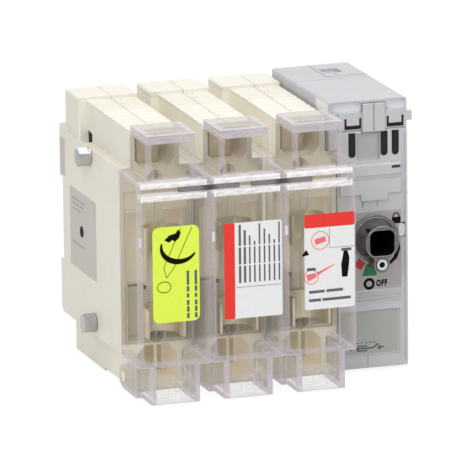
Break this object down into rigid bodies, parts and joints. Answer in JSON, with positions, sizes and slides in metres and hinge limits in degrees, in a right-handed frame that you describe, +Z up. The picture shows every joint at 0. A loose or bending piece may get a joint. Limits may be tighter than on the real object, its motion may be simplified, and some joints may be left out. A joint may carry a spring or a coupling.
{
  "type": "fuse switch disconnector",
  "caption": "Side-by-side fuse switch poles with clear hinged covers over fuse clips, and a grey drive module with a rotary shaft socket.",
  "frame": {"origin": "middle of the base, on the plane that the pole housings stand on", "axes": "+X along the cross shaft from the poles to the drive module, +Y from the clear covers to the rear mounting feet, +Z up"},
  "size_m": [0.1326, 0.1084, 0.116],
  "materials": {
    "housing": "moulded thermoset, cream, light satin",
    "clear_cover": "clear polycarbonate, polished",
    "link": "black plastic, satin",
    "clip": "dull tinned copper alloy",
    "copper": "plated copper, rolled",
    "zinc_steel": "bright zinc plate",
    "rotor": "black moulded plastic",
    "gear": "dark moulded plastic",
    "socket": "dark die-cast zinc, satin",
    "module": "light grey moulded plastic, fine grain",
    "tab": "light grey plastic, satin"
  },
  "bodies": {
    "housing": {"pole_left_shell_1": "housing", "pole_left_shell_2": "housing", "pole_left_shell_3": "housing", "pole_right_shell_1": "housing", "pole_right_shell_2": "housing", "pole_right_shell_3": "housing", "upper_fuse_clip_1": "clip", "upper_fuse_clip_2": "clip", "upper_fuse_clip_3": "clip", "lower_fuse_clip_1": "clip", "lower_fuse_clip_2": "clip", "lower_fuse_clip_3": "clip", "line_terminal_1": "copper", "line_terminal_2": "copper", "line_terminal_3": "copper", "load_terminal_1": "copper", "load_terminal_2": "copper", "load_terminal_3": "copper", "line_screw_1": "zinc_steel", "line_screw_2": "zinc_steel", "line_screw_3": "zinc_steel", "load_screw_1": "zinc_steel", "load_screw_2": "zinc_steel", "load_screw_3": "zinc_steel", "module_front_casing": "module", "module_rear_casing": "module", "top_strap": "module", "upper_tie_bolt": "zinc_steel", "lower_tie_bolt": "zinc_steel", "upper_tie_nut": "zinc_steel", "lower_tie_nut": "zinc_steel"},
    "fuse_covers": {"fuse_cover_1": "clear_cover", "fuse_cover_2": "clear_cover", "fuse_cover_3": "clear_cover", "cover_link_1": "link", "cover_link_2": "link"},
    "cross_shaft_body": {"cross_shaft": "zinc_steel", "contact_rotor_1": "rotor", "contact_rotor_2": "rotor", "contact_rotor_3": "rotor", "front_blade_1": "copper", "front_blade_2": "copper", "front_blade_3": "copper", "rear_blade_1": "copper", "rear_blade_2": "copper", "rear_blade_3": "copper", "shaft_bevel_gear": "gear"},
    "rotary_drive": {"drive_socket": "socket", "set_screw": "zinc_steel", "drive_shaft": "zinc_steel", "drive_bevel_gear": "gear"},
    "padlock_tab": {"lock_tab": "tab"}
  },
  "joints": [
    {"name": "covers_hinge", "type": "hinge", "parent": "housing", "child": "fuse_covers", "pos_m": [0, -0.02275, 0.0057], "axis": [1, 0, 0], "range_deg": [0, 85]},
    {"name": "cross_shaft_turn", "type": "hinge", "parent": "housing", "child": "cross_shaft_body", "pos_m": [0, 0.02365, 0.0569], "axis": [-1, 0, 0], "range_deg": [0, 90]},
    {"name": "drive_turn", "type": "hinge", "parent": "housing", "child": "rotary_drive", "pos_m": [0.0496, -0.04025, 0.0569], "axis": [0, 1, 0], "range_deg": [0, 90]},
    {"name": "padlock_tab_slide", "type": "slide", "parent": "housing", "child": "padlock_tab", "axis": [0, -1, 0], "range_m": [0, 0.009]}
  ],
  "couplings": [
    {"joint": "drive_turn", "follows": "cross_shaft_turn", "ratio": 1}
  ]
}
